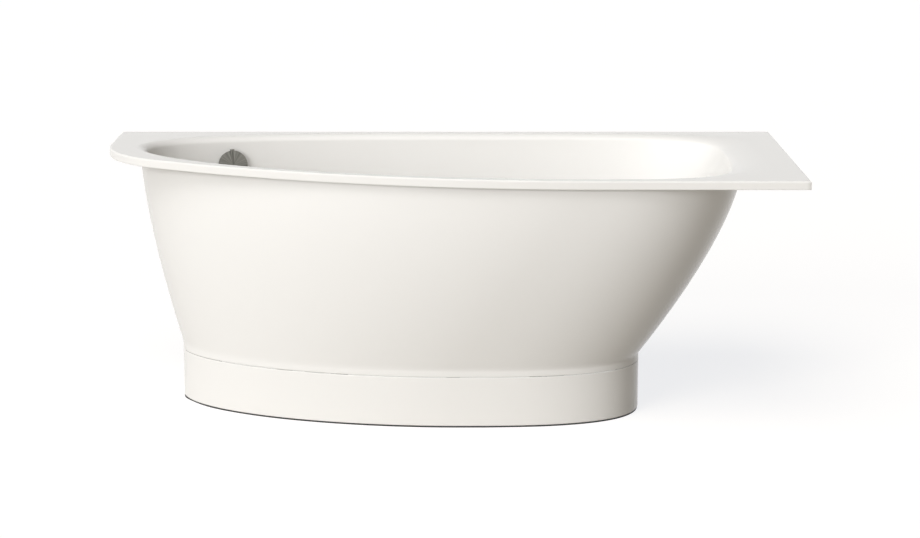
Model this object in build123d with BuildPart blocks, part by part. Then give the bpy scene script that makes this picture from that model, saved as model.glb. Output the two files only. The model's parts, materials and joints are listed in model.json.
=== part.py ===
"""Corner bath in enamelled steel with a one-piece apron, a base plinth, levelling feet,
a trap, and a waste whose plug is lifted by turning the overflow knob.

Lengths are millimetres. X runs along the long wall with the head end at +X, Y points at
that wall, and Z is up from the floor. A reach is a distance from the long wall into the room.
"""
import os
from collections import namedtuple
from math import atan2, cos, degrees, pi, radians, sin, sqrt, tan

from build123d import *

os.makedirs("parts", exist_ok=True)

# Overall size of the bath
bath_length = 1750.0
bath_width = 800.0
rim_height = 640.0
basin_depth = 420.0

# Sheet and edges
shell_sheet = 3.0
rim_edge = 21.0
apron_sheet = 2.5
plinth_sheet = 2.5
wall_gap = 4.0

# Clearances
seat_gap = 0.3
running_gap = 0.05
bond_gap = 4.0
rose_gap = 1.3
lever_play = 1.0

# Plan of the deck: the free corner and the long bow of the front
corner_radius = 303.0
bow_radius = 2080.0
bow_inset = 497.0

# Heights of the skirt
floor_seal_height = 4.0
plinth_height = 123.5
seam = 1.0
neck_height = 18.5

# Basin floor and walls
floor_round = 70.0
roll_depth = 18.0

# Frame of the plan
right_x = bath_length / 2
left_x = -right_x
wall_y = bath_width / 2
front_y = -wall_y
bow_x = right_x - bow_inset

# Levels
rim_underside = rim_height - rim_edge
basin_floor = rim_height - basin_depth
throat_height = rim_height - roll_depth
plinth_top = floor_seal_height + plinth_height
apron_foot = plinth_top + seam
neck_top = apron_foot + neck_height
shell_underside = basin_floor - shell_sheet

# An oval of four power-curve quarters. left and right are X, front, back, y_left and y_right
# are reaches; x_front and x_back are where the front and back tips lie along the bath, y_left
# and y_right how far into the room the ends bulge. The last four are the quarters' exponents.
Oval = namedtuple("Oval", "left right front back x_front x_back y_left y_right fl fr bl br")

# Basin opening, inset from the deck's edges
opening = Oval(
    left=left_x + 72, right=right_x - 63, front=bath_width - 24, back=22,
    x_front=bow_x - 48, x_back=-90, y_left=258, y_right=317, fl=1.78, fr=3.5, bl=2.4, br=4.4,
)
roll = {"left": 28.0, "right": 88.0, "front": 26.0, "back": 26.0}

# How far the walls lean in between the throat and the floor, and how straight they run
lean = {"left": 140.0, "right": 330.0, "front": 120.0, "back": 105.0}
lean_power = {"left": 1.4, "right": 1.25, "front": 1.5, "back": 1.5}
floor_shape = {
    "x_front": 30.0, "x_back": -90.0, "y_left": 345.0, "y_right": 400.0,
    "fl": 1.8, "fr": 2.4, "bl": 2.4, "br": 2.6,
}

# Apron, inset from the deck's edges at the top, tapering to the plinth's outline
apron_brim = Oval(
    left=left_x + 83.5, right=right_x - 143, front=bath_width - 17, back=-300,
    x_front=bow_x - 48, x_back=-90, y_left=252, y_right=366, fl=1.78, fr=3.3, bl=2.6, br=4.6,
)
taper = {"left": 110.0, "right": 236.0, "front": 101.5}
taper_power = {"left": 1.40, "right": 1.53, "front": 1.5}
plinth_oval = Oval(
    left=apron_brim.left + taper["left"], right=apron_brim.right - taper["right"],
    front=apron_brim.front - taper["front"], back=-300,
    x_front=25, x_back=-90, y_left=349, y_right=429, fl=1.86, fr=2.82, bl=2.4, br=2.6,
)
quarter_points = 8

# Levelling feet and the rails that carry the basin
rail_width = 40.0
rail_depth = 30.0
rail_wall = 2.5
rail_pad = 4.0
rail_length = 420.0
tap_rail_offset = 134.5
head_rail_offset = 370.0
foot_spread = 370.0
stud_radius = 6.0
stud_engagement = 22.0
foot_travel = 20.0
nut_height = 10.0
nut_across = 18.0
foot_radius = 25.0
foot_height = 22.0
foot_floor = 6.0
stud_hex = 8.0

# Waste
waste_inset = 150.0
waste_radius = 26.0
flange_radius = 35.0
flange_height = 2.0
waste_seal_height = 1.5
sleeve_wall = 3.0
gasket_height = 3.0
body_wall = 3.5
body_flange = 5.0
body_depth = 75.0
spigot_length = 26.0
stem_radius = 3.0
plug_radius = 32.0
plug_height = 5.0
plug_lift = 10.0
lever_arm = 22.0
lever_radius = 3.0

# Pipes
pipe_radius = 20.0
pipe_wall = 2.5
pipe_bend = 60.0
trap_bend = 34.0
socket_wall = 3.0
socket_length = 34.0
trap_width = 72.0
trap_drop = 70.0
outlet_gap = 24.0
union_length = 24.0
union_wall = 5.0
collar_length = 10.0
collar_rise = 3.0

# Overflow and its knob
overflow_x = -570.0
overflow_drop = 76.0
knob_radius = 38.5
knob_height = 10.5
knob_groove = 5.0
knob_groove_depth = 4.0
knob_tab_width = 11.0
knob_tab_reach = 4.0
rose_radius = 36.0
rose_height = 4.0
spindle_radius = 5.0
overflow_cup_radius = 33.0
overflow_cup_depth = 52.0
overflow_gasket = 4.0
drum_radius = 11.0
drum_height = 6.0
housing_wall = 2.0
cable_radius = 2.5
cable_clearance = 34.0
screw_radius = 2.5
screw_spread = 40.0
screw_head = 1.6
screw_length = 18.0
knob_hub = 6.0
stop_reach = 13.0
trap_run = 180.0
lug_inset = 24.0
lug_drop = 16.0
lug_width = 20.0
lug_sheet = 3.0

# Small pieces
trim_gap = 0.5
clip_thickness = 1.5
clip_width = 40.0
clip_reach = 24.0
block_width = 70.0
block_height = 60.0
block_foot = rim_height - 140.0
strap_turn = -16.0
strap_width = 150.0
strap_proud = 5.5
strap_foot = rim_height - 81.0
pad_length = 90.0
pad_spread = 130.0
sound_pad_height = 2.5
sound_pad_length = 130.0
sound_pad_width = 220.0
sound_pad_spread = 70.0
plug_seal_height = 1.5
crank_length = 20.0


def wall_to_y(reach):
    """Y of a point that stands the given reach away from the long wall."""
    return wall_y - reach


def inset_oval(oval, by):
    """The oval drawn in by the same distance on all four sides."""
    return oval._replace(
        left=oval.left + by, right=oval.right - by, front=oval.front - by, back=oval.back + by
    )


def oval_point(oval, turn):
    """X and Y on an oval; turn runs from the right end through the front."""
    c = cos(turn)
    s = sin(turn)
    tip_x, tip_reach = (oval.x_front, oval.front) if s >= 0 else (oval.x_back, oval.back)
    end_x, end_reach = (oval.right, oval.y_right) if c >= 0 else (oval.left, oval.y_left)
    right_power, left_power = (oval.fr, oval.fl) if s >= 0 else (oval.br, oval.bl)
    power = right_power if c >= 0 else left_power
    scale = (abs(c) ** power + abs(s) ** power) ** (-1 / power)
    x = tip_x + (end_x - tip_x) * abs(c) * scale
    reach = end_reach + (tip_reach - end_reach) * abs(s) * scale
    return x, wall_to_y(reach)


def oval_face(oval, height):
    """Flat face inside the oval at a height, its outline one smooth curve for each quarter."""
    headings = [(0, -1), (-1, 0), (0, 1), (1, 0), (0, -1)]
    with BuildSketch(Plane.XY.offset(height)) as section:
        with BuildLine():
            for quarter in range(4):
                turns = [pi / 2 * (quarter + step / quarter_points) for step in range(quarter_points + 1)]
                Spline(
                    *[oval_point(oval, turn) for turn in turns],
                    tangents=[headings[quarter], headings[quarter + 1]],
                )
        make_face()
    return section.sketch


def basin_oval(height):
    """Inside of the basin at a height: rolled edge, leaning wall, then the floor's round."""
    if height >= throat_height:
        fall = (height - throat_height) / roll_depth
        part = 1 - sqrt(max(0.0, 1 - fall ** 2))
        return opening._replace(
            left=opening.left + roll["left"] * (1 - part),
            right=opening.right - roll["right"] * (1 - part),
            front=opening.front - roll["front"] * (1 - part),
            back=opening.back + roll["back"] * (1 - part),
        )
    share = (height - basin_floor) / (throat_height - basin_floor)
    left_over = {side: lean[side] * (1 - share) ** lean_power[side] for side in lean}
    rise = min(height - basin_floor, floor_round) / floor_round
    rounding = floor_round * (1 - sqrt(1 - (1 - rise) ** 2))

    def even(name):
        return floor_shape[name] + (getattr(opening, name) - floor_shape[name]) * share

    return Oval(
        left=opening.left + roll["left"] + left_over["left"] + rounding,
        right=opening.right - roll["right"] - left_over["right"] - rounding,
        front=opening.front - roll["front"] - left_over["front"] - rounding,
        back=opening.back + roll["back"] + left_over["back"] + rounding,
        x_front=even("x_front"), x_back=even("x_back"),
        y_left=even("y_left"), y_right=even("y_right"),
        fl=even("fl"), fr=even("fr"), bl=even("bl"), br=even("br"),
    )


def apron_oval(height):
    """Outside of the apron at a height: upright neck, flare, then upright under the rim."""
    share = min(1.0, max(0.0, (height - neck_top) / (rim_underside - neck_top)))
    left_over = {side: taper[side] * (1 - share) ** taper_power[side] for side in taper}

    def even(name):
        foot = getattr(plinth_oval, name)
        return foot + (getattr(apron_brim, name) - foot) * share

    return Oval(
        left=apron_brim.left + left_over["left"], right=apron_brim.right - left_over["right"],
        front=apron_brim.front - left_over["front"], back=apron_brim.back,
        x_front=even("x_front"), x_back=even("x_back"),
        y_left=even("y_left"), y_right=even("y_right"),
        fl=even("fl"), fr=even("fr"), bl=even("bl"), br=even("br"),
    )


def basin_heights():
    """Heights of the sections that the basin's walls are lofted through."""
    rounded = [basin_floor + floor_round * (1 - sin(radians(a))) for a in (90, 72, 50, 25, 0)]
    walls = [basin_floor + (throat_height - basin_floor) * s for s in (0.35, 0.52, 0.7, 0.86)]
    rolled = [throat_height + roll_depth * cos(radians(a)) for a in (90, 75, 55, 30, 0)]
    return rounded + walls + rolled


def basin_body(thicker=0.0):
    """Solid that fills the basin, or with thicker the basin and that much of its sheet."""
    faces = [
        oval_face(inset_oval(basin_oval(height), -thicker), height - thicker)
        for height in basin_heights()
    ]
    with BuildPart() as body:
        loft(sections=faces, ruled=True)
    return body.part


def apron_body(inset):
    """Solid that fills the apron, drawn in by inset: an upright neck, then the flare."""
    neck = oval_face(inset_oval(apron_oval(apron_foot), inset), apron_foot)
    shares = (0, 0.1, 0.22, 0.36, 0.52, 0.7, 0.86, 1)
    flare = [neck_top + (rim_underside - neck_top) * share for share in shares]
    with BuildPart() as body:
        extrude(neck, amount=neck_height)
        loft(sections=[oval_face(inset_oval(apron_oval(h), inset), h) for h in flare], ruled=True)
    return body.part


def deck_face(inset, height):
    """Deck outline: square against both walls, one big round corner, a long bow in front."""
    bow_centre = Vector(bow_x, front_y + bow_radius)
    corner_x = left_x + corner_radius
    run = bow_radius - corner_radius
    corner_centre = Vector(corner_x, bow_centre.Y - sqrt(run ** 2 - (bow_x - corner_x) ** 2))
    away = corner_centre - bow_centre
    join = degrees(atan2(away.Y, away.X)) % 360
    back = wall_y - inset
    with BuildSketch(Plane.XY.offset(height)) as section:
        with BuildLine():
            Polyline(
                (left_x + inset, corner_centre.Y), (left_x + inset, back), (right_x - inset, back),
                (right_x - inset, front_y + inset), (bow_x, front_y + inset),
            )
            CenterArc(bow_centre, bow_radius - inset, join, 270 - join)
            CenterArc(corner_centre, corner_radius - inset, 180, join - 180)
        make_face()
    return section.sketch


def save(part, name):
    """Label a finished piece and write its file."""
    part.label = name
    export_step(part, f"parts/{name}.step")


def flat_at(part, height):
    """The level face of a solid at a height."""
    level_faces = part.faces().filter_by(Plane.XY)
    return min(level_faces, key=lambda face: abs(face.center().Z - height))


def between(part, low, high):
    """The faces of a solid that run from its lower level face to its upper one."""
    ends = [flat_at(part, low), flat_at(part, high)]
    return [face for face in part.faces() if not any(face.is_same(end) for end in ends)]


def washer(outside, inside):
    """Flat face between the outlines of two faces at one level."""
    return Face(outside.outer_wire(), [inside.outer_wire()])


def wall_patch(near, far, turn, width, heights):
    """Small solid between two ovals that change with height, centred on a turn.

    near and far give the inner and outer oval at a height; width is how far it runs along them.
    """
    faces = []
    for height in heights:
        inner, outer = near(height), far(height)
        middle = Vector(*oval_point(outer, turn))
        step = (Vector(*oval_point(outer, turn + 0.01)) - middle).length / 0.01
        turns = [turn + width / step * (k / 4 - 0.5) for k in range(5)]
        points = [oval_point(outer, t) for t in turns] + [oval_point(inner, t) for t in reversed(turns)]
        with BuildSketch(Plane.XY.offset(height)) as section:
            with BuildLine():
                Polyline(*points, close=True)
            make_face()
        faces.append(section.sketch)
    with BuildPart() as patch:
        loft(sections=faces, ruled=True)
    return patch.part


def ring(plane, outer, inner, length):
    """Plain ring standing on a plane."""
    with BuildPart() as body:
        with BuildSketch(plane):
            Circle(outer)
            Circle(inner, mode=Mode.SUBTRACT)
        extrude(amount=length)
    return body.part


def tube(points, radii, outer, inner):
    """Pipe along straight runs joined by arcs, one radius for each corner."""
    with BuildPart() as body:
        with BuildLine() as route:
            FilletPolyline(*points, radius=radii)
        with BuildSketch(Plane(origin=route.line @ 0, z_dir=route.line % 0)):
            Circle(outer)
            if inner > 0:
                Circle(inner, mode=Mode.SUBTRACT)
        sweep()
    return body.part


# Shell: the folded deck with the basin pressed into it, a waste hole and an overflow hole
waste_x = basin_oval(basin_floor).left + waste_inset
waste_y = wall_to_y(basin_oval(basin_floor).y_left + 55)


def basin_wall_point(x, height):
    """Point on the basin's wall behind its free end, at an X and a height."""
    oval = basin_oval(height)
    share = (oval.x_back - x) / (oval.x_back - oval.left)
    reach = oval.y_left + (oval.back - oval.y_left) * (1 - share ** oval.bl) ** (1 / oval.bl)
    return Vector(x, wall_to_y(reach), height)


overflow_height = rim_height - overflow_drop
overflow_point = basin_wall_point(overflow_x, overflow_height)
along_wall = basin_wall_point(overflow_x + 1, overflow_height) - overflow_point
up_wall = basin_wall_point(overflow_x, overflow_height + 1) - overflow_point
overflow_normal = along_wall.cross(up_wall).normalized()
overflow_plane = Plane(origin=overflow_point, x_dir=along_wall, z_dir=overflow_normal)
wall_back = -shell_sheet * (abs(overflow_normal.Z) + sqrt(1 - overflow_normal.Z ** 2)) - seat_gap
gasket_plane = overflow_plane.offset(wall_back - overflow_gasket)
cup_plane = gasket_plane.offset(-overflow_cup_depth)
cup_middle = cup_plane.offset(overflow_cup_depth / 2).origin
waste_plane = Plane(origin=(waste_x, waste_y, basin_floor))

deck_underside = rim_height - shell_sheet
with BuildPart() as deck_outside:
    extrude(deck_face(0, rim_underside), amount=rim_edge)
with BuildPart() as deck_inside:
    extrude(deck_face(shell_sheet, rim_underside), amount=rim_edge - shell_sheet)
basin_outside = basin_body(thicker=shell_sheet)
basin_inside = basin_body()
shell_faces = [
    *between(deck_outside.part, rim_underside, rim_height),
    *between(deck_inside.part, rim_underside, deck_underside),
    *between(basin_outside, shell_underside, deck_underside), flat_at(basin_outside, shell_underside),
    *between(basin_inside, basin_floor, rim_height), flat_at(basin_inside, basin_floor),
    washer(flat_at(deck_outside.part, rim_height), flat_at(basin_inside, rim_height)),
    washer(flat_at(deck_inside.part, deck_underside), flat_at(basin_outside, deck_underside)),
    washer(flat_at(deck_outside.part, rim_underside), flat_at(deck_inside.part, rim_underside)),
]
with BuildPart() as bath_shell:
    add(Solid(Shell(shell_faces)))
    with BuildSketch(waste_plane):
        Circle(waste_radius)
    extrude(amount=2 * shell_sheet, both=True, mode=Mode.SUBTRACT)
    with BuildSketch(overflow_plane):
        Circle(waste_radius)
    extrude(amount=4 * shell_sheet, both=True, mode=Mode.SUBTRACT)
save(bath_shell.part, "bath_shell")

# Apron: one curved sheet, open at the back, ending a little short of the long wall
with BuildPart() as apron:
    add(apron_body(0))
    add(apron_body(apron_sheet), mode=Mode.SUBTRACT)
    split(bisect_by=Plane(origin=(0, wall_y - wall_gap, 0), z_dir=(0, 1, 0)), keep=Keep.BOTTOM)
save(apron.part, "apron")

# Base plinth under the apron's neck, and the seal between it and the floor
with BuildPart() as plinth:
    extrude(oval_face(plinth_oval, floor_seal_height), amount=plinth_height)
    extrude(
        oval_face(inset_oval(plinth_oval, plinth_sheet), floor_seal_height),
        amount=plinth_height, mode=Mode.SUBTRACT,
    )
    split(bisect_by=Plane(origin=(0, wall_y - wall_gap, 0), z_dir=(0, 1, 0)), keep=Keep.BOTTOM)
save(plinth.part, "plinth")

with BuildPart() as plinth_floor_seal:
    extrude(oval_face(inset_oval(plinth_oval, 1.0), 0), amount=floor_seal_height)
    extrude(
        oval_face(inset_oval(plinth_oval, plinth_sheet + 2.0), 0),
        amount=floor_seal_height, mode=Mode.SUBTRACT,
    )
    split(bisect_by=Plane(origin=(0, wall_y - wall_gap, 0), z_dir=(0, 1, 0)), keep=Keep.BOTTOM)
save(plinth_floor_seal.part, "plinth_floor_seal")


# Clips that hold the plinth's top edge to the apron's neck, on the inside
clip_turns = [radians(a) for a in (25, 60, 90, 120, 155)]
with BuildPart() as plinth_clips:
    for turn in clip_turns:
        add(wall_patch(
            lambda h: inset_oval(plinth_oval, plinth_sheet + seat_gap + clip_thickness),
            lambda h: inset_oval(plinth_oval, plinth_sheet + seat_gap),
            turn, clip_width, (plinth_top - clip_reach, neck_top - 2),
        ))
save(plinth_clips.part, "plinth_clips")

# Blocks bonded between the basin's wall and the apron, which carry the apron on the shell
with BuildPart() as apron_blocks:
    for turn in [radians(a) for a in (20, 55, 90, 125, 165)]:
        add(wall_patch(
            lambda h: inset_oval(basin_oval(h + shell_sheet), -shell_sheet - bond_gap),
            lambda h: inset_oval(apron_oval(h), apron_sheet + bond_gap),
            turn, block_width, (block_foot, block_foot + block_height / 2, block_foot + block_height),
        ))
save(apron_blocks.part, "apron_blocks")

# Strap over the apron behind its head end, hung under the deck
with BuildPart() as head_end_strap:
    add(wall_patch(
        lambda h: inset_oval(apron_oval(h), -seat_gap),
        lambda h: inset_oval(apron_oval(h), -seat_gap - strap_proud * min(1, (h - strap_foot + 1) / 8)),
        radians(strap_turn), strap_width,
        [strap_foot, strap_foot + 8, rim_underside - 26, rim_underside - seat_gap],
    ))
save(head_end_strap.part, "head_end_strap")

# Rails across the underside, on rubber pads
floor_oval = basin_oval(basin_floor)
floor_middle_x = (floor_oval.left + floor_oval.right) / 2
floor_middle_y = wall_to_y((floor_oval.front + floor_oval.back) / 2)
rail_top = shell_underside - rail_pad
rail_bottom = rail_top - rail_depth
rail_xs = {
    "foot_rail_tap_end": waste_x + tap_rail_offset,
    "foot_rail_head_end": floor_middle_x + head_rail_offset,
}
foot_places = [(x, floor_middle_y + side * foot_spread / 2) for x in rail_xs.values() for side in (-1, 1)]
stud_hole = stud_radius + running_gap
for name, x in rail_xs.items():
    with BuildPart() as rail:
        middle = (x, floor_middle_y, rail_bottom + rail_depth / 2)
        with BuildSketch(Plane(origin=middle, x_dir=(1, 0, 0), z_dir=(0, 1, 0))):
            RectangleRounded(rail_width, rail_depth, rail_wall + 1)
            RectangleRounded(
                rail_width - 2 * rail_wall, rail_depth - 2 * rail_wall, 1, mode=Mode.SUBTRACT
            )
        extrude(amount=rail_length / 2, both=True)
        for place in [spot for spot in foot_places if spot[0] == x]:
            with BuildSketch(Plane(origin=(*place, rail_bottom))):
                Circle(stud_hole + 1)
            extrude(amount=rail_wall + 1, mode=Mode.SUBTRACT)
    save(rail.part, name)

with BuildPart() as rail_pads:
    for x in rail_xs.values():
        for side in (-1, 1):
            with BuildSketch(Plane(origin=(x, floor_middle_y + side * pad_spread / 2, rail_top))):
                RectangleRounded(rail_width - 6, pad_length, 4)
            extrude(amount=rail_pad)
save(rail_pads.part, "rail_pads")

# Sheets of damping bitumen stuck under the floor
with BuildPart() as sound_pads:
    for x in (floor_middle_x - sound_pad_spread, floor_middle_x + sound_pad_spread):
        with BuildSketch(Plane(origin=(x, floor_middle_y, shell_underside - sound_pad_height))):
            RectangleRounded(sound_pad_length, sound_pad_width, 8)
        extrude(amount=sound_pad_height)
save(sound_pads.part, "sound_pads")


def nut(plane, across, height, bore):
    """Six-sided nut with chamfered corners, standing on a plane."""
    with BuildPart() as body:
        with BuildSketch(plane):
            RegularPolygon(across / 2, 6, major_radius=False)
        extrude(amount=height)
        with BuildSketch(plane):
            Circle(across * 0.565)
        extrude(amount=height, mode=Mode.INTERSECT)
        with BuildSketch(plane):
            Circle(bore)
        extrude(amount=height, mode=Mode.SUBTRACT)
    return body.part


# Nuts welded under the rails, and the lock nuts run up against them
with BuildPart() as weld_nuts:
    for place in foot_places:
        add(nut(Plane(origin=(*place, rail_bottom - nut_height)), nut_across, nut_height, stud_hole))
save(weld_nuts.part, "weld_nuts")

with BuildPart() as lock_nuts:
    for place in foot_places:
        level = rail_bottom - 2 * nut_height - seat_gap
        add(nut(Plane(origin=(*place, level)), nut_across, nut_height, stud_hole))
save(lock_nuts.part, "lock_nuts")

# Four feet: a threaded stud with a hexagon for the spanner, standing in a plastic pad
for number, place in enumerate(foot_places, start=1):
    with BuildPart() as foot_stud:
        with BuildSketch(Plane(origin=(*place, foot_floor))):
            Circle(stud_radius)
        extrude(amount=rail_bottom + stud_engagement - foot_floor)
        chamfer(foot_stud.edges().filter_by(GeomType.CIRCLE), 1)
        with BuildSketch(Plane(origin=(*place, foot_height + seat_gap))):
            RegularPolygon(nut_across / 2 - 1, 6, major_radius=False)
        extrude(amount=stud_hex)
    save(foot_stud.part, f"foot_stud_{number}")
    with BuildPart() as foot_pad:
        with BuildSketch(Plane(origin=(*place, 0), x_dir=(1, 0, 0), z_dir=(0, -1, 0))):
            with BuildLine():
                Polyline(
                    (0, 0), (foot_radius - 1, 0), (foot_radius, 1), (foot_radius, foot_floor),
                    (foot_radius / 2, foot_height), (stud_hole, foot_height),
                    (stud_hole, foot_floor), (0, foot_floor), close=True,
                )
            make_face()
        revolve(axis=Axis((*place, 0), (0, 0, 1)))
    save(foot_pad.part, f"foot_pad_{number}")

# Waste: flange and seal in the basin, body and gasket below it
body_top = shell_underside - gasket_height
body_bottom = body_top - body_depth
sleeve_radius = waste_radius - trim_gap
body_bore = sleeve_radius + running_gap
flange_top = basin_floor + waste_seal_height + flange_height
guide_level = body_top - 22

waste_seal = ring(waste_plane, flange_radius - 2, waste_radius + 1, waste_seal_height)
waste_gasket = ring(
    Plane(origin=(waste_x, waste_y, body_top)), flange_radius, waste_radius + 1, gasket_height
)


save(waste_seal, "waste_seal")
save(waste_gasket, "waste_gasket")

with BuildPart() as waste_flange:
    with BuildSketch(waste_plane.offset(waste_seal_height)):
        Circle(flange_radius)
        Circle(sleeve_radius - sleeve_wall, mode=Mode.SUBTRACT)
    extrude(amount=flange_height)
    fillet(waste_flange.edges().group_by(Axis.Z)[-1].sort_by(SortBy.LENGTH)[-1], flange_height / 2)
    with BuildSketch(Plane(origin=(waste_x, waste_y, guide_level - 4))):
        Circle(sleeve_radius)
        Circle(sleeve_radius - sleeve_wall, mode=Mode.SUBTRACT)
    extrude(amount=basin_floor + waste_seal_height + 1 - guide_level + 4)
    with BuildSketch(Plane(origin=(waste_x, waste_y, guide_level - 4))):
        Circle(stem_radius + 4)
        with PolarLocations(0, 3):
            with Locations((sleeve_radius / 2, 0)):
                Rectangle(sleeve_radius - 1, 3)
        Circle(stem_radius + running_gap, mode=Mode.SUBTRACT)
    extrude(amount=8)
save(waste_flange.part, "waste_flange")

# Plug: domed cap, its sealing ring, and the stem that the lever lifts
plug_foot = flange_top + plug_seal_height
save(ring(waste_plane.offset(flange_top - basin_floor), flange_radius - 5, 23.5, plug_seal_height), "plug_seal")
with BuildPart() as plug_cap:
    with BuildSketch(Plane(origin=(waste_x, waste_y, plug_foot))):
        Circle(plug_radius)
    extrude(amount=plug_height)
    fillet(plug_cap.edges().group_by(Axis.Z)[-1], plug_height / 2)
save(plug_cap.part, "plug_cap")

lever_level = body_bottom + 10
stem_foot = lever_level + lever_radius + lever_play
with BuildPart() as plug_stem:
    with BuildSketch(Plane(origin=(waste_x, waste_y, stem_foot))):
        Circle(stem_radius)
    extrude(amount=plug_foot - stem_foot)
save(plug_stem.part, "plug_stem")

# Waste body: cup with a threaded top, an inlet for the overflow and a spigot below
inlet_way = Vector(cup_middle.X - waste_x, cup_middle.Y - waste_y, 0).normalized()
cup_radius = waste_radius + 2 + body_wall
inlet_level = body_bottom + 40
inlet_plane = Plane(origin=Vector(waste_x, waste_y, inlet_level), z_dir=inlet_way)
socket_radius = pipe_radius + running_gap
lever_y = waste_y - lever_arm
crank_x = waste_x - cup_radius - 8
with BuildPart() as waste_body:
    with BuildSketch(Plane(origin=(waste_x, waste_y, body_bottom))):
        Circle(cup_radius)
    extrude(amount=body_depth)
    with BuildSketch(Plane(origin=(waste_x, waste_y, body_top - body_flange))):
        Circle(flange_radius + 2)
    extrude(amount=body_flange)
    with BuildSketch(inlet_plane):
        Circle(socket_radius + socket_wall)
    extrude(amount=cup_radius + socket_length)
    with BuildSketch(Plane(origin=(waste_x, waste_y, body_bottom - spigot_length))):
        Circle(pipe_radius)
    extrude(amount=spigot_length)
    with BuildSketch(Plane(origin=(waste_x, waste_y, body_bottom + body_wall))):
        Circle(cup_radius - body_wall)
    extrude(amount=guide_level - 6 - body_bottom - body_wall, mode=Mode.SUBTRACT)
    with BuildSketch(Plane(origin=(waste_x, waste_y, body_bottom + body_wall))):
        Circle(body_bore)
    extrude(amount=body_depth, mode=Mode.SUBTRACT)
    with BuildSketch(inlet_plane.offset(cup_radius)):
        Circle(socket_radius)
    extrude(amount=socket_length, mode=Mode.SUBTRACT)
    with BuildSketch(inlet_plane.offset(cup_radius / 2)):
        Circle(pipe_radius - pipe_wall)
    extrude(amount=cup_radius, mode=Mode.SUBTRACT)
    with BuildSketch(Plane(origin=(waste_x, waste_y, body_bottom - spigot_length))):
        Circle(pipe_radius - pipe_wall)
    extrude(amount=spigot_length + 2 * body_wall, mode=Mode.SUBTRACT)
    with BuildSketch(Plane(origin=(waste_x, lever_y, lever_level), z_dir=(-1, 0, 0))):
        Circle(lever_radius + running_gap)
    extrude(amount=cup_radius + 1, mode=Mode.SUBTRACT)
    stop_level = lever_level - crank_length + 2
    stop_run = waste_x - crank_x + 5 - cup_radius + 4
    with Locations((crank_x - 5 + stop_run / 2, waste_y + stop_reach, (stop_level - 5 + lever_level) / 2)):
        Box(stop_run, 8, lever_level - stop_level + 5)
    with BuildSketch(Plane(origin=(crank_x, waste_y + stop_reach, stop_level), z_dir=(0, 1, 0))):
        Circle(cable_radius + running_gap)
    extrude(amount=6, both=True, mode=Mode.SUBTRACT)
save(waste_body.part, "waste_body")

# Lifting lever: shaft through the body's wall, an arm under the stem and a crank outside
with BuildPart() as lift_lever:
    with BuildSketch(Plane(origin=(waste_x + 6, lever_y, lever_level), z_dir=(-1, 0, 0))):
        Circle(lever_radius)
    extrude(amount=waste_x + 6 - crank_x + 4)
    with BuildSketch(Plane(origin=(waste_x, lever_y + lever_arm / 2, lever_level))):
        SlotCenterToCenter(lever_arm, 2 * lever_radius - 1, rotation=90)
    extrude(amount=lever_radius, both=True)
    with BuildSketch(Plane(origin=(crank_x, lever_y, lever_level), z_dir=(-1, 0, 0), x_dir=(0, 0, -1))):
        with Locations((crank_length / 2, 0)):
            SlotCenterToCenter(crank_length, 9)
    extrude(amount=4)
save(lift_lever.part, "lift_lever")

# Overflow: rose, knob and spindle in front of the wall, cup, gasket and drum behind it
rose_edges = [
    basin_wall_point(overflow_x + rose_radius * cos(radians(a)), overflow_height + rose_radius * sin(radians(a)))
    for a in range(0, 360, 30)
]
rose_stand = max(overflow_plane.to_local_coords(edge).Z for edge in rose_edges) + rose_gap
rose_plane = overflow_plane.offset(rose_stand)
with BuildPart() as overflow_rose:
    with BuildSketch(rose_plane):
        Circle(rose_radius)
        Circle(spindle_radius + running_gap, mode=Mode.SUBTRACT)
        with Locations((-screw_spread / 2, 0), (screw_spread / 2, 0)):
            Circle(screw_radius + running_gap, mode=Mode.SUBTRACT)
    extrude(amount=rose_height)
    with BuildSketch(rose_plane.offset(rose_height - screw_head)):
        with Locations((-screw_spread / 2, 0), (screw_spread / 2, 0)):
            Circle(2 * screw_radius)
    extrude(amount=screw_head, mode=Mode.SUBTRACT)
save(overflow_rose.part, "overflow_rose")
save(ring(gasket_plane, overflow_cup_radius, waste_radius + 1, overflow_gasket), "overflow_gasket")

knob_plane = rose_plane.offset(rose_height + seat_gap)
with BuildPart() as overflow_knob:
    with BuildSketch(knob_plane):
        Circle(knob_radius)
    extrude(amount=knob_height)
    chamfer(overflow_knob.edges().filter_by(GeomType.CIRCLE), 0.6)
    with BuildSketch(knob_plane.offset(knob_height)):
        with Locations(Location((0, 0), 4)):
            Rectangle(knob_groove, 2 * knob_radius + 2)
    extrude(amount=-knob_groove_depth, mode=Mode.SUBTRACT)
    with BuildSketch(knob_plane):
        with Locations((0, knob_radius)):
            Rectangle(knob_tab_width, 2 * knob_tab_reach)
        Circle(knob_radius - 1, mode=Mode.SUBTRACT)
    extrude(amount=knob_height - knob_groove_depth)
    with BuildSketch(knob_plane):
        Circle(spindle_radius + running_gap)
    extrude(amount=knob_hub, mode=Mode.SUBTRACT)
save(overflow_knob.part, "overflow_knob")

drum_plane = cup_plane.offset(-drum_height - 2 * seat_gap)
with BuildPart() as overflow_spindle:
    with BuildSketch(drum_plane):
        Circle(spindle_radius)
    extrude(amount=(knob_plane.origin - drum_plane.origin).length + knob_hub)
save(overflow_spindle.part, "overflow_spindle")
save(ring(drum_plane.offset(seat_gap), drum_radius, spindle_radius + 0.02, drum_height - seat_gap), "cable_drum")

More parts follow.
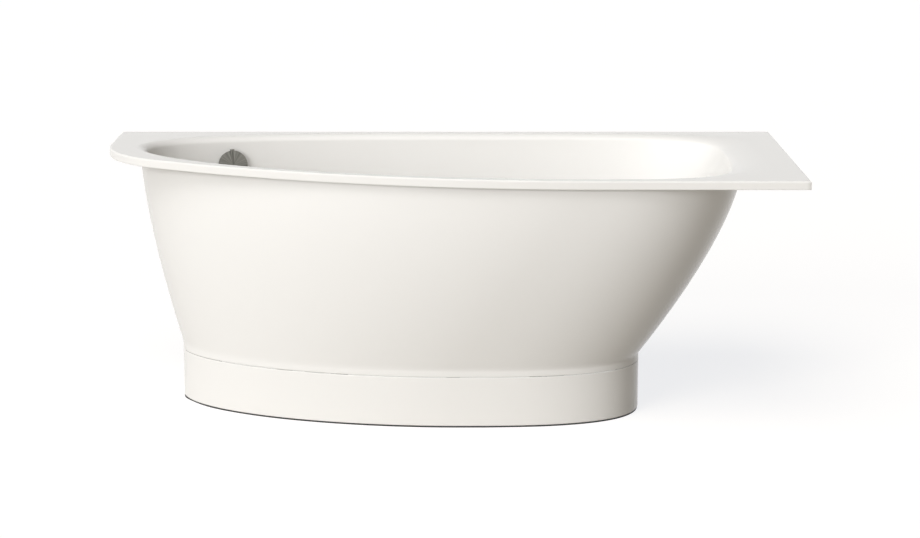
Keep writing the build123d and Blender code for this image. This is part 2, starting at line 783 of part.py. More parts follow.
rose_back = (rose_plane.origin - cup_plane.origin).length
drop_plane = Plane(origin=cup_middle, z_dir=(0, 0, -1))
drop_length = overflow_cup_radius + socket_length
with BuildPart() as overflow_body:
    with BuildSketch(cup_plane):
        Circle(overflow_cup_radius)
    extrude(amount=overflow_cup_depth)
    with BuildSketch(drop_plane):
        Circle(socket_radius + socket_wall)
    extrude(amount=drop_length)
    with BuildSketch(cup_plane.offset(socket_wall)):
        Circle(overflow_cup_radius - socket_wall)
    extrude(amount=overflow_cup_depth, mode=Mode.SUBTRACT)
    with BuildSketch(drop_plane.offset(overflow_cup_radius)):
        Circle(socket_radius)
    extrude(amount=socket_length, mode=Mode.SUBTRACT)
    with BuildSketch(drop_plane):
        Circle(pipe_radius - pipe_wall)
    extrude(amount=overflow_cup_radius + 1, mode=Mode.SUBTRACT)
    with BuildSketch(cup_plane):
        with Locations((-screw_spread / 2, 0), (screw_spread / 2, 0)):
            Circle(2 * screw_radius)
    extrude(amount=rose_back - seat_gap)
    with BuildSketch(cup_plane.offset(rose_back - screw_length)):
        with Locations((-screw_spread / 2, 0), (screw_spread / 2, 0)):
            Circle(screw_radius + running_gap)
    extrude(amount=screw_length, mode=Mode.SUBTRACT)
    with BuildSketch(cup_plane):
        Circle(spindle_radius + running_gap)
    extrude(amount=2 * socket_wall, mode=Mode.SUBTRACT)
save(overflow_body.part, "overflow_body")

# Screws that clamp the rose to the overflow body through the shell
with BuildPart() as overflow_screws:
    with BuildSketch(rose_plane.offset(rose_height)):
        with Locations((-screw_spread / 2, 0), (screw_spread / 2, 0)):
            Circle(2 * screw_radius - running_gap)
    extrude(amount=-screw_head)
    with BuildSketch(rose_plane.offset(rose_height)):
        with Locations((-screw_spread / 2, 0), (screw_spread / 2, 0)):
            Circle(screw_radius)
    extrude(amount=-rose_height - screw_length + 2)
save(overflow_screws.part, "overflow_screws")

# Housing over the cable drum, on the back of the cup
housing_radius = drum_radius + 1 + housing_wall
with BuildPart() as cable_housing:
    with BuildSketch(drum_plane.offset(-seat_gap - housing_wall)):
        Circle(housing_radius)
    extrude(amount=(cup_plane.origin - drum_plane.origin).length + seat_gap + housing_wall)
    with BuildSketch(drum_plane.offset(-seat_gap)):
        Circle(drum_radius + 1)
    extrude(amount=drum_height + 4, mode=Mode.SUBTRACT)
save(cable_housing.part, "cable_housing")

# Bowden cable from the drum's housing to the stop beside the crank
cable_top = drum_plane.offset(drum_height / 2).origin - Vector(0, 0, housing_radius + 1.2)
stop_point = Vector(crank_x, waste_y + stop_reach, lever_level - crank_length + 2)
pipe_foot = Vector(cup_middle.X, cup_middle.Y, 0)
beside = Vector(inlet_way.Y, -inlet_way.X, 0) * -cable_clearance


def along_pipe(distance, height):
    """Point beside the overflow pipe's level run, on the side that faces the crank."""
    return pipe_foot + beside - inlet_way * distance + Vector(0, 0, height)


cable_route = [
    cable_top,
    cable_top + Vector(-7, 2, -62),
    Vector(cable_top.X - 15, cable_top.Y - 3, 372),
    Vector(cable_top.X - 19, cable_top.Y - 12, 268),
    along_pipe(-6, 178),
    along_pipe(66, stop_point.Z + 10),
    along_pipe(150, stop_point.Z + 2),
    along_pipe(232, stop_point.Z),
    stop_point + Vector(0, 36, 0),
    stop_point,
]


def arc_radii(points):
    """Radius of the arc at each corner, as large as the shorter run beside it allows."""
    radii = []
    for before, corner, after in zip(points, points[1:], points[2:]):
        turn = radians((corner - before).get_angle(after - corner))
        shorter = min((corner - before).length, (after - corner).length)
        radii.append(0.45 * shorter / tan(turn / 2))
    return radii


cable_radii = arc_radii(cable_route)
print("cable radii", [round(r) for r in cable_radii])
bowden_cable = tube(cable_route, cable_radii, cable_radius, 0)
save(bowden_cable, "bowden_cable")

# Overflow pipe from the cup down and round to the waste body's inlet
drop_end = cup_middle + Vector(0, 0, -overflow_cup_radius - 4)
inlet_end = Vector(waste_x, waste_y, inlet_level) + inlet_way * (cup_radius + 4)
pipe_corner = Vector(cup_middle.X, cup_middle.Y, inlet_level)
pipe_route = [drop_end, pipe_corner, inlet_end]
overflow_pipe = tube(pipe_route, [pipe_bend], pipe_radius, pipe_radius - pipe_wall)
save(overflow_pipe, "overflow_pipe")

# Trap below the waste, and the outlet pipe to the wall with a collar that stops the drain's socket
trap_top = body_bottom - spigot_length
trap_low = trap_top - trap_drop
trap_rise_x = waste_x + trap_width
trap_end_y = waste_y + trap_run
trap_route = [
    Vector(waste_x, waste_y, trap_top), Vector(waste_x, waste_y, trap_low),
    Vector(trap_rise_x, waste_y, trap_low), Vector(trap_rise_x, waste_y, trap_low + trap_width),
    Vector(trap_rise_x, trap_end_y, trap_low + trap_width),
]
trap_body = tube(trap_route, [trap_bend] * 3, pipe_radius, pipe_radius - pipe_wall)
save(trap_body, "trap_body")
outlet_level = trap_low + trap_width
outlet_end_y = wall_y - outlet_gap
outlet_plane = Plane(origin=(trap_rise_x, trap_end_y, outlet_level), z_dir=(0, 1, 0))
with BuildPart() as outlet_pipe:
    add(ring(outlet_plane, pipe_radius, pipe_radius - pipe_wall, outlet_end_y - trap_end_y))
    collar_plane = outlet_plane.offset(union_length / 2 + 1)
    add(ring(collar_plane, pipe_radius + collar_rise, pipe_radius - pipe_wall, collar_length))
save(outlet_pipe.part, "outlet_pipe")

# Union nuts over the trap's two joints
with BuildPart() as union_nuts:
    for plane in (
        Plane(origin=(waste_x, waste_y, trap_top)), outlet_plane,
    ):
        with BuildSketch(plane.offset(-union_length / 2)):
            Circle(socket_radius + union_wall)
            with PolarLocations(socket_radius + union_wall, 8):
                Circle(2)
            Circle(socket_radius, mode=Mode.SUBTRACT)
        extrude(amount=union_length)
save(union_nuts.part, "union_nuts")

# Earthing lug under the deck behind the free end, with its bolt and nut
lug_x = left_x + lug_inset
lug_y = wall_y - shell_sheet - lug_inset
lug_level = rim_height - shell_sheet - lug_drop
with BuildPart() as earth_lug:
    with BuildSketch(Plane(origin=(lug_x, lug_y, rim_height - shell_sheet), z_dir=(0, 0, -1))):
        Rectangle(lug_width, lug_width)
    extrude(amount=lug_sheet)
    tab_middle = (lug_x, lug_y + lug_width / 2 - lug_sheet / 2, lug_level)
    with BuildSketch(Plane(origin=tab_middle, x_dir=(1, 0, 0), z_dir=(0, 1, 0))):
        RectangleRounded(lug_width, 2 * lug_drop - 1, 3)
        Circle(screw_radius + running_gap, mode=Mode.SUBTRACT)
    extrude(amount=lug_sheet / 2, both=True)
save(earth_lug.part, "earth_lug")
lug_face = Plane(origin=(lug_x, lug_y + lug_width / 2 - lug_sheet, lug_level), z_dir=(0, -1, 0))
with BuildPart() as earth_bolt:
    with BuildSketch(lug_face):
        RegularPolygon(4.5, 6)
    extrude(amount=3.5)
    with BuildSketch(lug_face):
        Circle(screw_radius)
    extrude(amount=-12)
save(earth_bolt.part, "earth_bolt")
save(nut(lug_face.offset(-lug_sheet - 4), 8, 4, screw_radius + running_gap), "earth_nut")
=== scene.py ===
"""Corner bath: enamelled shell, apron and plinth with their fittings, on a pale studio floor.

X runs along the long wall, Y towards it and Z up. The sheet pieces are worked out in millimetres
and make_piece turns them into the frame's metres. All other lengths are metres.
"""
import json
from collections import namedtuple
from math import atan2, cos, pi, radians, sin, sqrt

import bpy
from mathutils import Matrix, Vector


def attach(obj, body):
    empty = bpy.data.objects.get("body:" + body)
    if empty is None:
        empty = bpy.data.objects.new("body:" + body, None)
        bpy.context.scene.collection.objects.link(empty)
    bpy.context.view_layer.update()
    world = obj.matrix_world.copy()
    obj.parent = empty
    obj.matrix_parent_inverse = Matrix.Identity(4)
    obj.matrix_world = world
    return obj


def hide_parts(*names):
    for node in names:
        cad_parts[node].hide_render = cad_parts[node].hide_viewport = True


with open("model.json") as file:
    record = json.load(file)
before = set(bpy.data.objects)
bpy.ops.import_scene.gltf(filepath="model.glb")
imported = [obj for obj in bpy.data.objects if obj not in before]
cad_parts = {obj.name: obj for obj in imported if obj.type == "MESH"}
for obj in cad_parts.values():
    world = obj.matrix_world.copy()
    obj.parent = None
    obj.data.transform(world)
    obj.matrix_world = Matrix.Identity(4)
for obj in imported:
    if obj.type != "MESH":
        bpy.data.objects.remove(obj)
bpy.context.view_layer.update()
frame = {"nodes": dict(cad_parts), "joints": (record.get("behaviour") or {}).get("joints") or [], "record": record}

nodes = frame["nodes"]

# Camera at the photograph's angle
camera_data = bpy.data.cameras.new("camera")
camera_data.lens = 91.63
camera_data.sensor_width = 36.0
camera_data.clip_end = 100.0
camera = bpy.data.objects.new("camera", camera_data)
camera.location = (0.0389, -5.8872, 1.5779)
camera.rotation_euler = (radians(78.156), 0, 0)
bpy.context.collection.objects.link(camera)
bpy.context.scene.camera = camera
bpy.context.scene.view_settings.view_transform = "Standard"

# Sizes shared with the solids, in millimetres
rim_height = 640.0
rim_underside = 619.0
shell_sheet = 3.0
basin_floor = 220.0
roll_depth = 18.0
throat_height = rim_height - roll_depth
floor_round = 70.0
apron_sheet = 2.5
plinth_sheet = 2.5
sheet_edge = 0.8
wall_gap = 4.0
plinth_foot = 4.0
plinth_top = 127.5
apron_foot = 128.5
neck_top = 147.0
right_x = 875.0
left_x = -875.0
wall_y = 400.0
front_y = -400.0
corner_radius = 303.0
bow_radius = 2080.0
bow_x = 378.0
waste_x = -415.0
waste_y = 0.0
waste_radius = 26.0

# An oval of four quarters. Its ends are at X left and right, its tips at distances front and back from
# the wall. x_front and x_back place the tips, y_left and y_right are the ends' distances from the wall,
# and fl, fr, bl and br are the powers of the quarters: front left, front right, back left, back right.
Oval = namedtuple("Oval", "left right front back x_front x_back y_left y_right fl fr bl br")
opening = Oval(
    left=-803, right=812, front=776, back=22, x_front=330, x_back=-90,
    y_left=258, y_right=317, fl=1.78, fr=3.5, bl=2.4, br=4.4,
)
roll = {"left": 28.0, "right": 88.0, "front": 26.0, "back": 26.0}
lean = {"left": 140.0, "right": 330.0, "front": 120.0, "back": 105.0}
lean_power = {"left": 1.4, "right": 1.25, "front": 1.5, "back": 1.5}
floor_shape = {
    "x_front": 30.0, "x_back": -90.0, "y_left": 345.0, "y_right": 400.0,
    "fl": 1.8, "fr": 2.4, "bl": 2.4, "br": 2.6,
}
apron_brim = Oval(
    left=-791.5, right=746, front=783, back=-300, x_front=330, x_back=-90,
    y_left=252, y_right=366, fl=1.78, fr=3.3, bl=2.6, br=4.6,
)
taper = {"left": 110.0, "right": 250.0, "front": 101.5}
taper_power = {"left": 1.40, "right": 1.42, "front": 1.5}
plinth_oval = Oval(
    left=-681.5, right=496, front=681.5, back=-300, x_front=25, x_back=-90,
    y_left=349, y_right=429, fl=1.86, fr=2.82, bl=2.4, br=2.6,
)


def inset_oval(oval, by):
    """The oval drawn in by the same distance on all four sides."""
    return oval._replace(
        left=oval.left + by, right=oval.right - by, front=oval.front - by, back=oval.back + by
    )


def oval_point(oval, turn):
    """X and Y on an oval; turn runs from the right end through the front."""
    c = cos(turn)
    s = sin(turn)
    tip_x, tip_reach = (oval.x_front, oval.front) if s >= 0 else (oval.x_back, oval.back)
    end_x, end_reach = (oval.right, oval.y_right) if c >= 0 else (oval.left, oval.y_left)
    right_power, left_power = (oval.fr, oval.fl) if s >= 0 else (oval.br, oval.bl)
    power = right_power if c >= 0 else left_power
    scale = (abs(c) ** power + abs(s) ** power) ** (-1 / power)
    x = tip_x + (end_x - tip_x) * abs(c) * scale
    return x, wall_y - end_reach - (tip_reach - end_reach) * abs(s) * scale


def basin_oval(height):
    """Inside of the basin at a height."""
    if height >= throat_height:
        fall = (height - throat_height) / roll_depth
        part = 1 - sqrt(max(0.0, 1 - fall ** 2))
        return opening._replace(
            left=opening.left + roll["left"] * (1 - part),
            right=opening.right - roll["right"] * (1 - part),
            front=opening.front - roll["front"] * (1 - part),
            back=opening.back + roll["back"] * (1 - part),
        )
    share = (height - basin_floor) / (throat_height - basin_floor)
    over = {side: lean[side] * (1 - share) ** lean_power[side] for side in lean}
    rise = min(height - basin_floor, floor_round) / floor_round
    rounding = floor_round * (1 - sqrt(1 - (1 - rise) ** 2))
    fields = {k: v + (getattr(opening, k) - v) * share for k, v in floor_shape.items()}
    return Oval(
        left=opening.left + roll["left"] + over["left"] + rounding,
        right=opening.right - roll["right"] - over["right"] - rounding,
        front=opening.front - roll["front"] - over["front"] - rounding,
        back=opening.back + roll["back"] + over["back"] + rounding,
        **fields,
    )


def apron_oval(height):
    """Outside of the apron at a height."""
    share = min(1.0, max(0.0, (height - neck_top) / (rim_underside - neck_top)))
    over = {side: taper[side] * (1 - share) ** taper_power[side] for side in taper}
    fields = {
        k: getattr(plinth_oval, k) + (getattr(apron_brim, k) - getattr(plinth_oval, k)) * share
        for k in floor_shape
    }
    return Oval(
        left=apron_brim.left + over["left"], right=apron_brim.right - over["right"],
        front=apron_brim.front - over["front"], back=apron_brim.back, **fields,
    )


def make_piece(name, rings, body="bath", closed=True, cyclic=False):
    """Smooth mesh through rings of points given in millimetres."""
    count = len(rings[0])
    mesh = bpy.data.meshes.new(name)
    points = [(x / 1000, y / 1000, z / 1000) for ring in rings for x, y, z in ring]
    faces = []
    spans = len(rings) if cyclic else len(rings) - 1
    for i in range(spans):
        for j in range(count if closed else count - 1):
            a = i * count + j
            b = i * count + (j + 1) % count
            c = ((i + 1) % len(rings)) * count + (j + 1) % count
            d = ((i + 1) % len(rings)) * count + j
            faces.append((a, b, c, d))
    mesh.from_pydata(points, [], faces)
    mesh.validate()
    mesh.polygons.foreach_set("use_smooth", [True] * len(mesh.polygons))
    piece = bpy.data.objects.new(name, mesh)
    bpy.context.collection.objects.link(piece)
    normals = piece.modifiers.new("normals", "WEIGHTED_NORMAL")
    normals.weight = 50
    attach(piece, body)
    return piece


# Deck outline, found along rays from a middle so that its rings match the basin's
middle = (0.0, 80.0)
halvings = 50
deck_reach = 3000.0
bow_centre = (bow_x, front_y + bow_radius)
corner_x = left_x + corner_radius
run = bow_radius - corner_radius
corner_centre = (corner_x, bow_centre[1] - sqrt(run ** 2 - (bow_x - corner_x) ** 2))
join = atan2(corner_centre[1] - bow_centre[1], corner_centre[0] - bow_centre[0]) % (2 * pi)


def in_deck(x, y, inset):
    """Whether a point lies inside the deck's outline drawn in by inset."""
    if x < left_x + inset or x > right_x - inset or y > wall_y - inset or y < front_y + inset:
        return False
    if x >= bow_x:
        return True
    away = atan2(y - corner_centre[1], x - corner_centre[0]) % (2 * pi)
    if pi <= away <= join:
        return sqrt((x - corner_centre[0]) ** 2 + (y - corner_centre[1]) ** 2) <= corner_radius - inset
    if y > corner_centre[1]:
        return True
    return sqrt((x - bow_centre[0]) ** 2 + (y - bow_centre[1]) ** 2) <= bow_radius - inset


def last_before(low, high, before):
    """Value from low towards high up to which a test holds, by halving."""
    for _ in range(halvings):
        at = (low + high) / 2
        if before(at):
            low = at
        else:
            high = at
    return (low + high) / 2


def deck_hit(x, y, inset):
    """Where the ray from the middle through a point leaves the deck's outline."""
    dx, dy = x - middle[0], y - middle[1]
    size = sqrt(dx * dx + dy * dy)
    dx, dy = dx / size, dy / size
    away = last_before(0.0, deck_reach, lambda at: in_deck(middle[0] + dx * at, middle[1] + dy * at, inset))
    return middle[0] + dx * away, middle[1] + dy * away


def ray_angle(x, y):
    """Angle of the ray from the middle through a point, growing from the right through the front."""
    return atan2(middle[1] - y, x - middle[0]) % (2 * pi)


start_angle = ray_angle(*oval_point(opening, 0.0))


def turn_towards(x, y):
    """Turn at which the opening's edge lies on the ray from the middle through a point."""
    goal = (ray_angle(x, y) - start_angle) % (2 * pi)
    return last_before(
        0.0, 2 * pi, lambda at: (ray_angle(*oval_point(opening, at)) - start_angle) % (2 * pi) < goal,
    )


deck_corners = [(right_x, front_y), (left_x, wall_y), (right_x, wall_y)]
corner_turns = [turn_towards(x, y) for x, y in deck_corners]
ring_steps = 360
turns = sorted([2 * pi * k / ring_steps for k in range(ring_steps)] + corner_turns)
corner_of = {turns.index(t): c for t, c in zip(corner_turns, deck_corners)}


def deck_ring(inset, z):
    """Ring of points round the deck's outline, drawn in by inset."""
    ring = []
    for k, turn in enumerate(turns):
        if k in corner_of:
            cx, cy = corner_of[k]
            x, y = cx - inset * (1 if cx > 0 else -1), cy - inset * (1 if cy > 0 else -1)
        else:
            x, y = deck_hit(*oval_point(opening, turn), inset)
        ring.append((x, y, z))
    return ring


def oval_ring(oval, z):
    """Ring of points round an oval."""
    return [(*oval_point(oval, turn), z) for turn in turns]


def circle_ring(x, y, radius, z):
    """Ring of points round a circle, in step with the ovals."""
    return [(x + radius * cos(turn), y - radius * sin(turn), z) for turn in turns]


def mix_rings(a, b, share):
    """Ring part of the way between two rings."""
    return [tuple(p + (q - p) * share for p, q in zip(u, v)) for u, v in zip(a, b)]


# Heights of the basin's rings: floor rounding, wall, rolled edge
wall_foot = basin_floor + floor_round
wall_steps = 30
basin_levels = [basin_floor + floor_round * (1 - cos(radians(a))) for a in range(0, 90, 6)]
basin_levels += [wall_foot + (throat_height - wall_foot) * k / wall_steps for k in range(wall_steps)]
basin_levels += [throat_height + roll_depth * sin(radians(a)) for a in range(0, 91, 6)]
wall_rings = [oval_ring(basin_oval(level), level) for level in basin_levels]
back_rings = [
    oval_ring(inset_oval(basin_oval(level), -shell_sheet), level - shell_sheet) for level in basin_levels
]

# Folded edge of the deck, as inset and height: under the deck, down the fold's back, up its face
rim_round = 4.0
fold_edge = 0.6
fold_heights = (rim_underside + 3, rim_height - 8)
rim_profile = [(9.0, rim_height - shell_sheet), (rim_round, rim_height - shell_sheet)]
rim_profile += [(shell_sheet, rim_height - 4)]
rim_profile += [(shell_sheet, height) for height in reversed(fold_heights)]
rim_profile += [
    (shell_sheet, rim_underside + fold_edge), (2.6, rim_underside),
    (fold_edge, rim_underside), (0.0, rim_underside + fold_edge),
]
rim_profile += [(0.0, height) for height in fold_heights]
rim_profile += [
    (rim_round * (1 - cos(radians(a))), rim_height - rim_round + rim_round * sin(radians(a)))
    for a in range(0, 91, 10)
]
rim_profile.append((rim_round + 2.0, rim_height))
rim_rings = [deck_ring(inset, z) for inset, z in rim_profile]
top_rings = [mix_rings(rim_rings[-1], wall_rings[-1], share) for share in (0.3, 0.6, 0.9)]
under_rings = [mix_rings(back_rings[-1], rim_rings[0], share) for share in (0.1, 0.5, 0.9)]
drain_top = circle_ring(waste_x, waste_y, waste_radius, basin_floor)
drain_foot = circle_ring(waste_x, waste_y, waste_radius, basin_floor - shell_sheet)
floor_rings = [mix_rings(wall_rings[0], drain_top, share) for share in (0.03, 0.4, 0.8, 0.97)]
under_floor = [mix_rings(drain_foot, back_rings[0], share) for share in (0.03, 0.2, 0.6, 0.97)]
shell = make_piece(
    "enamelled_shell",
    [drain_foot] + under_floor + back_rings + under_rings + rim_rings + top_rings
    + wall_rings[::-1] + floor_rings + [drain_top],
    cyclic=True,
)
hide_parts("bath_shell")


def back_turn(oval, left):
    """Turn at which an open-backed oval stops, a little short of the wall."""
    low, high = (pi, 1.5 * pi) if left else (0.0, -0.5 * pi)
    return last_before(low, high, lambda at: oval_point(oval, at)[1] < wall_y - wall_gap)


def open_ring(oval, z, count=300):
    """Points from the right end of an open-backed oval through the front to its left end."""
    start, end = back_turn(oval, False), back_turn(oval, True)
    return [(*oval_point(oval, start + (end - start) * k / (count - 1)), z) for k in range(count)]


def open_sheet(name, node, oval_at, sheet, profile):
    """Sheet that follows an oval up a list of heights, with rounded edges and thickness."""
    low, high = profile[0], profile[-1]
    upright = (low + sheet_edge, *profile[1:-1], high - sheet_edge)
    outside = [open_ring(inset_oval(oval_at(low), sheet_edge), low)]
    outside += [open_ring(oval_at(z), z) for z in upright]
    outside += [open_ring(inset_oval(oval_at(high), sheet_edge), high)]
    inside = [open_ring(inset_oval(oval_at(z), sheet), z) for z in (low, *upright, high)]
    piece = make_piece(name, outside + inside[::-1], closed=False, cyclic=True)
    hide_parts(node)
    return piece


flare_steps = 56
flare = [neck_top + (rim_underside - neck_top) * k / flare_steps for k in range(flare_steps)]
apron = open_sheet(
    "enamelled_apron", "apron", apron_oval, apron_sheet,
    [apron_foot, apron_foot + 3, neck_top - 6, *flare, rim_underside - 3, rim_underside],
)
plinth = open_sheet(
    "enamelled_plinth", "plinth", lambda z: plinth_oval, plinth_sheet,
    [plinth_foot, plinth_foot + 3, 40.0, 80.0, plinth_top - 3, plinth_top],
)

# Strap over the apron's head end: its turns on the oval, and how far it stands off the apron
strap_foot = 559.0
strap_levels = [strap_foot, strap_foot + 2, strap_foot + 6, strap_foot + 10]
strap_levels += [strap_foot + 16 + 4.9 * k for k in range(10)]
strap_first, strap_last = radians(-21), radians(-3)
strap_steps = 30
strap_turns = [strap_first + (strap_last - strap_first) * k / strap_steps for k in range(strap_steps + 1)]
strap_gap = 0.3
strap_thickness = 6.0
strap_taper = 8.0


def strap_ring(z):
    """Closed ring round the strap at a height: outside one way, then inside the other way."""
    proud = strap_thickness * min(1.0, (z - strap_foot + 1.0) / strap_taper)
    outside = inset_oval(apron_oval(z), -strap_gap - proud)
    inside = inset_oval(apron_oval(z), -strap_gap)
    ring = [(*oval_point(outside, turn), z) for turn in strap_turns]
    return ring + [(*oval_point(inside, turn), z) for turn in reversed(strap_turns)]


strap = make_piece("enamelled_strap", [strap_ring(z) for z in strap_levels])
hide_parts("head_end_strap")

# Materials


def material(name, colour, roughness, metallic=0.0, coat=0.0, tone=0.03, tone_size=6.0,
             bump=0.02, bump_size=400.0, bump_depth=0.0005, stretch=(1, 1, 1)):
    """Shader with slight mottling of the colour and a fine uneven surface."""
    made = bpy.data.materials.new(name)
    made.use_nodes = True
    tree = made.node_tree
    shader = tree.nodes["Principled BSDF"]
    shader.inputs["Metallic"].default_value = metallic
    shader.inputs["Roughness"].default_value = roughness
    shader.inputs["Coat Weight"].default_value = coat
    shader.inputs["Coat Roughness"].default_value = 0.04
    place = tree.nodes.new("ShaderNodeTexCoord")
    mapping = tree.nodes.new("ShaderNodeMapping")
    mapping.inputs["Scale"].default_value = stretch
    tree.links.new(place.outputs["Object"], mapping.inputs["Vector"])
    mottle = tree.nodes.new("ShaderNodeTexNoise")
    mottle.inputs["Scale"].default_value = tone_size
    mottle.inputs["Detail"].default_value = 3.0
    tree.links.new(mapping.outputs["Vector"], mottle.inputs["Vector"])
    blend = tree.nodes.new("ShaderNodeMix")
    blend.data_type = "RGBA"
    blend.inputs["A"].default_value = (*[c * (1 - tone) for c in colour], 1)
    blend.inputs["B"].default_value = (*[min(1, c * (1 + tone)) for c in colour], 1)
    tree.links.new(mottle.outputs["Fac"], blend.inputs["Factor"])
    tree.links.new(blend.outputs["Result"], shader.inputs["Base Color"])
    grain = tree.nodes.new("ShaderNodeTexNoise")
    grain.inputs["Scale"].default_value = bump_size
    grain.inputs["Detail"].default_value = 4.0
    tree.links.new(mapping.outputs["Vector"], grain.inputs["Vector"])
    relief = tree.nodes.new("ShaderNodeBump")
    relief.inputs["Strength"].default_value = bump
    relief.inputs["Distance"].default_value = bump_depth
    tree.links.new(grain.outputs["Fac"], relief.inputs["Height"])
    tree.links.new(relief.outputs["Normal"], shader.inputs["Normal"])
    return made


enamel = material("white_enamel", (0.86, 0.853, 0.835), 0.24, coat=0.15, tone=0.006, tone_size=2.5,
                  bump=0.02, bump_size=60.0, bump_depth=0.0004)
finishes = {
    "rubber": material("rubber", (0.035, 0.035, 0.036), 0.65, bump=0.25, bump_size=900.0),
    "bitumen": material("bitumen", (0.05, 0.05, 0.052), 0.8, tone=0.15, tone_size=60.0,
                        bump=0.6, bump_size=260.0),
    "foam": material("foam", (0.72, 0.62, 0.42), 0.9, tone=0.08, tone_size=40.0, bump=0.7, bump_size=350.0,
                     bump_depth=0.001),
    "zinc_steel": material("zinc_steel", (0.60, 0.61, 0.63), 0.36, metallic=1.0, tone=0.12, tone_size=45.0,
                           bump=0.1, bump_size=700.0),
    "brushed_metal": material("brushed_metal", (0.21, 0.20, 0.18), 0.38, metallic=1.0,
                              tone=0.08, tone_size=30.0),
    "brass": material("brass", (0.70, 0.55, 0.28), 0.3, metallic=1.0, tone=0.06, tone_size=80.0, bump=0.1),
    "chrome": material("chrome", (0.78, 0.78, 0.79), 0.08, metallic=1.0, tone=0.02, bump=0.01),
    "white_plastic": material("white_plastic", (0.72, 0.72, 0.70), 0.45, tone=0.03,
                              bump=0.1, bump_size=600.0),
    "black_plastic": material("black_plastic", (0.03, 0.03, 0.032), 0.5, tone=0.1,
                              bump=0.2, bump_size=700.0),
    "enamel": enamel,
}


def turned_face(made, centre, normal):
    """Streaks that run out from a centre, as on a face brushed in a lathe."""
    tree = made.node_tree
    place = tree.nodes.new("ShaderNodeTexCoord")
    local = tree.nodes.new("ShaderNodeMapping")
    local.vector_type = "TEXTURE"
    local.inputs["Location"].default_value = centre
    local.inputs["Rotation"].default_value = Vector(normal).to_track_quat("Z", "Y").to_euler()
    angle = tree.nodes.new("ShaderNodeTexGradient")
    angle.gradient_type = "RADIAL"
    streak = tree.nodes.new("ShaderNodeTexNoise")
    streak.noise_dimensions = "1D"
    streak.inputs["Scale"].default_value = 34.0
    streak.inputs["Detail"].default_value = 3.0
    tree.links.new(place.outputs["Object"], local.inputs["Vector"])
    tree.links.new(local.outputs["Vector"], angle.inputs["Vector"])
    tree.links.new(angle.outputs["Fac"], streak.inputs["W"])
    shader = tree.nodes["Principled BSDF"]
    blend = tree.nodes.new("ShaderNodeMix")
    blend.data_type = "RGBA"
    blend.inputs["A"].default_value = (0.06, 0.058, 0.05, 1)
    blend.inputs["B"].default_value = (0.42, 0.41, 0.37, 1)
    tree.links.new(streak.outputs["Fac"], blend.inputs["Factor"])
    tree.links.new(blend.outputs["Result"], shader.inputs["Base Color"])


knob_turning = next(joint for joint in frame["joints"] if joint["name"] == "knob_turn")
turned_face(finishes["brushed_metal"], knob_turning["pos_m"], knob_turning["axis"])

for piece in (shell, apron, plinth, strap):
    piece.data.materials.append(enamel)

slot_of = {entry["node"]: entry["material_slot"] for entry in frame["record"]["subparts"]}
for name, node in nodes.items():
    node.data.materials.clear()
    node.data.materials.append(finishes[slot_of[name]])

# Small rounded edges on the fittings that show
edge_widths = {"overflow_knob": 0.0006, "waste_flange": 0.0003}
for name, width in edge_widths.items():
    rounded = nodes[name].modifiers.new("edges", "BEVEL")
    rounded.width = width
    rounded.segments = 3
    rounded.limit_method = "ANGLE"

# Floor, world and lamps
floor_mesh = bpy.data.meshes.new("floor")
floor_side, floor_front, floor_far = 40, -12, 60
floor_corners = [
    (-floor_side, floor_front, 0), (floor_side, floor_front, 0),
    (floor_side, floor_far, 0), (-floor_side, floor_far, 0),
]
floor_mesh.from_pydata(floor_corners, [], [(0, 1, 2, 3)])
floor = bpy.data.objects.new("floor", floor_mesh)
bpy.context.collection.objects.link(floor)


def seen_only(tree):
    """Socket that is 1 for camera, glossy and transmission rays and 0 for the rest."""
    path = tree.nodes.new("ShaderNodeLightPath")
    last = path.outputs["Is Camera Ray"]
    for name in ("Is Glossy Ray", "Is Transmission Ray"):
        top = tree.nodes.new("ShaderNodeMath")
        top.operation = "MAXIMUM"
        tree.links.new(last, top.inputs[0])
        tree.links.new(path.outputs[name], top.inputs[1])
        last = top.outputs[0]
    return last


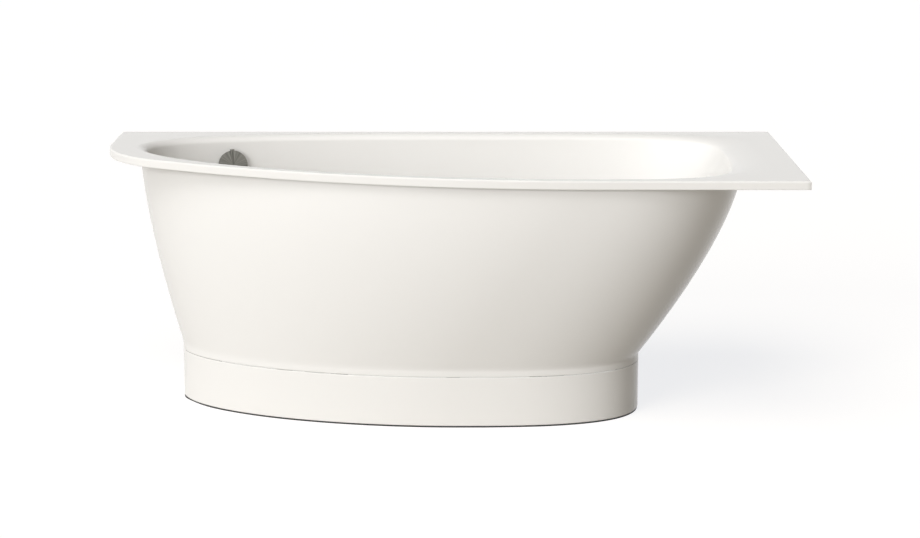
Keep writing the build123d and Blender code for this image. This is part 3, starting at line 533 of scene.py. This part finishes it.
floor_material = bpy.data.materials.new("floor")
floor_material.use_nodes = True
tree = floor_material.node_tree
tree.nodes.clear()
diffuse = tree.nodes.new("ShaderNodeBsdfDiffuse")
diffuse.inputs["Color"].default_value = (0.34, 0.31, 0.26, 1)
glow = tree.nodes.new("ShaderNodeEmission")
glow.inputs["Color"].default_value = (0.775, 0.79, 0.82, 1)
tree.links.new(seen_only(tree), glow.inputs["Strength"])
total = tree.nodes.new("ShaderNodeAddShader")
output = tree.nodes.new("ShaderNodeOutputMaterial")
tree.links.new(diffuse.outputs[0], total.inputs[0])
tree.links.new(glow.outputs[0], total.inputs[1])
tree.links.new(total.outputs[0], output.inputs["Surface"])
floor_mesh.materials.append(floor_material)

world = bpy.data.worlds.new("world")
bpy.context.scene.world = world
world.use_nodes = True
tree = world.node_tree
tree.nodes.clear()
dim = tree.nodes.new("ShaderNodeBackground")
dim.inputs["Color"].default_value = (1.0, 0.90, 0.76, 1)
dim.inputs["Strength"].default_value = 0.17
white = tree.nodes.new("ShaderNodeBackground")
white.inputs["Color"].default_value = (1, 1, 1, 1)
white.inputs["Strength"].default_value = 1.0
choose = tree.nodes.new("ShaderNodeMixShader")
output = tree.nodes.new("ShaderNodeOutputWorld")
tree.links.new(seen_only(tree), choose.inputs[0])
tree.links.new(dim.outputs[0], choose.inputs[1])
tree.links.new(white.outputs[0], choose.inputs[2])
tree.links.new(choose.outputs[0], output.inputs["Surface"])


def sun(name, strength, azimuth, elevation, spread):
    """Lamp far away, in degrees; azimuth 0 is in front of the bath and 90 on its left."""
    lamp = bpy.data.lights.new(name, "SUN")
    lamp.energy = strength
    lamp.angle = radians(spread)
    made = bpy.data.objects.new(name, lamp)
    towards = Vector((
        -cos(radians(elevation)) * sin(radians(azimuth)),
        -cos(radians(elevation)) * cos(radians(azimuth)), sin(radians(elevation)),
    ))
    made.visible_glossy = False
    made.rotation_euler = towards.to_track_quat("Z", "Y").to_euler()
    bpy.context.collection.objects.link(made)


sun("key", strength=2.18, azimuth=36, elevation=12, spread=35)
sun("high", strength=1.55, azimuth=34, elevation=58, spread=45)
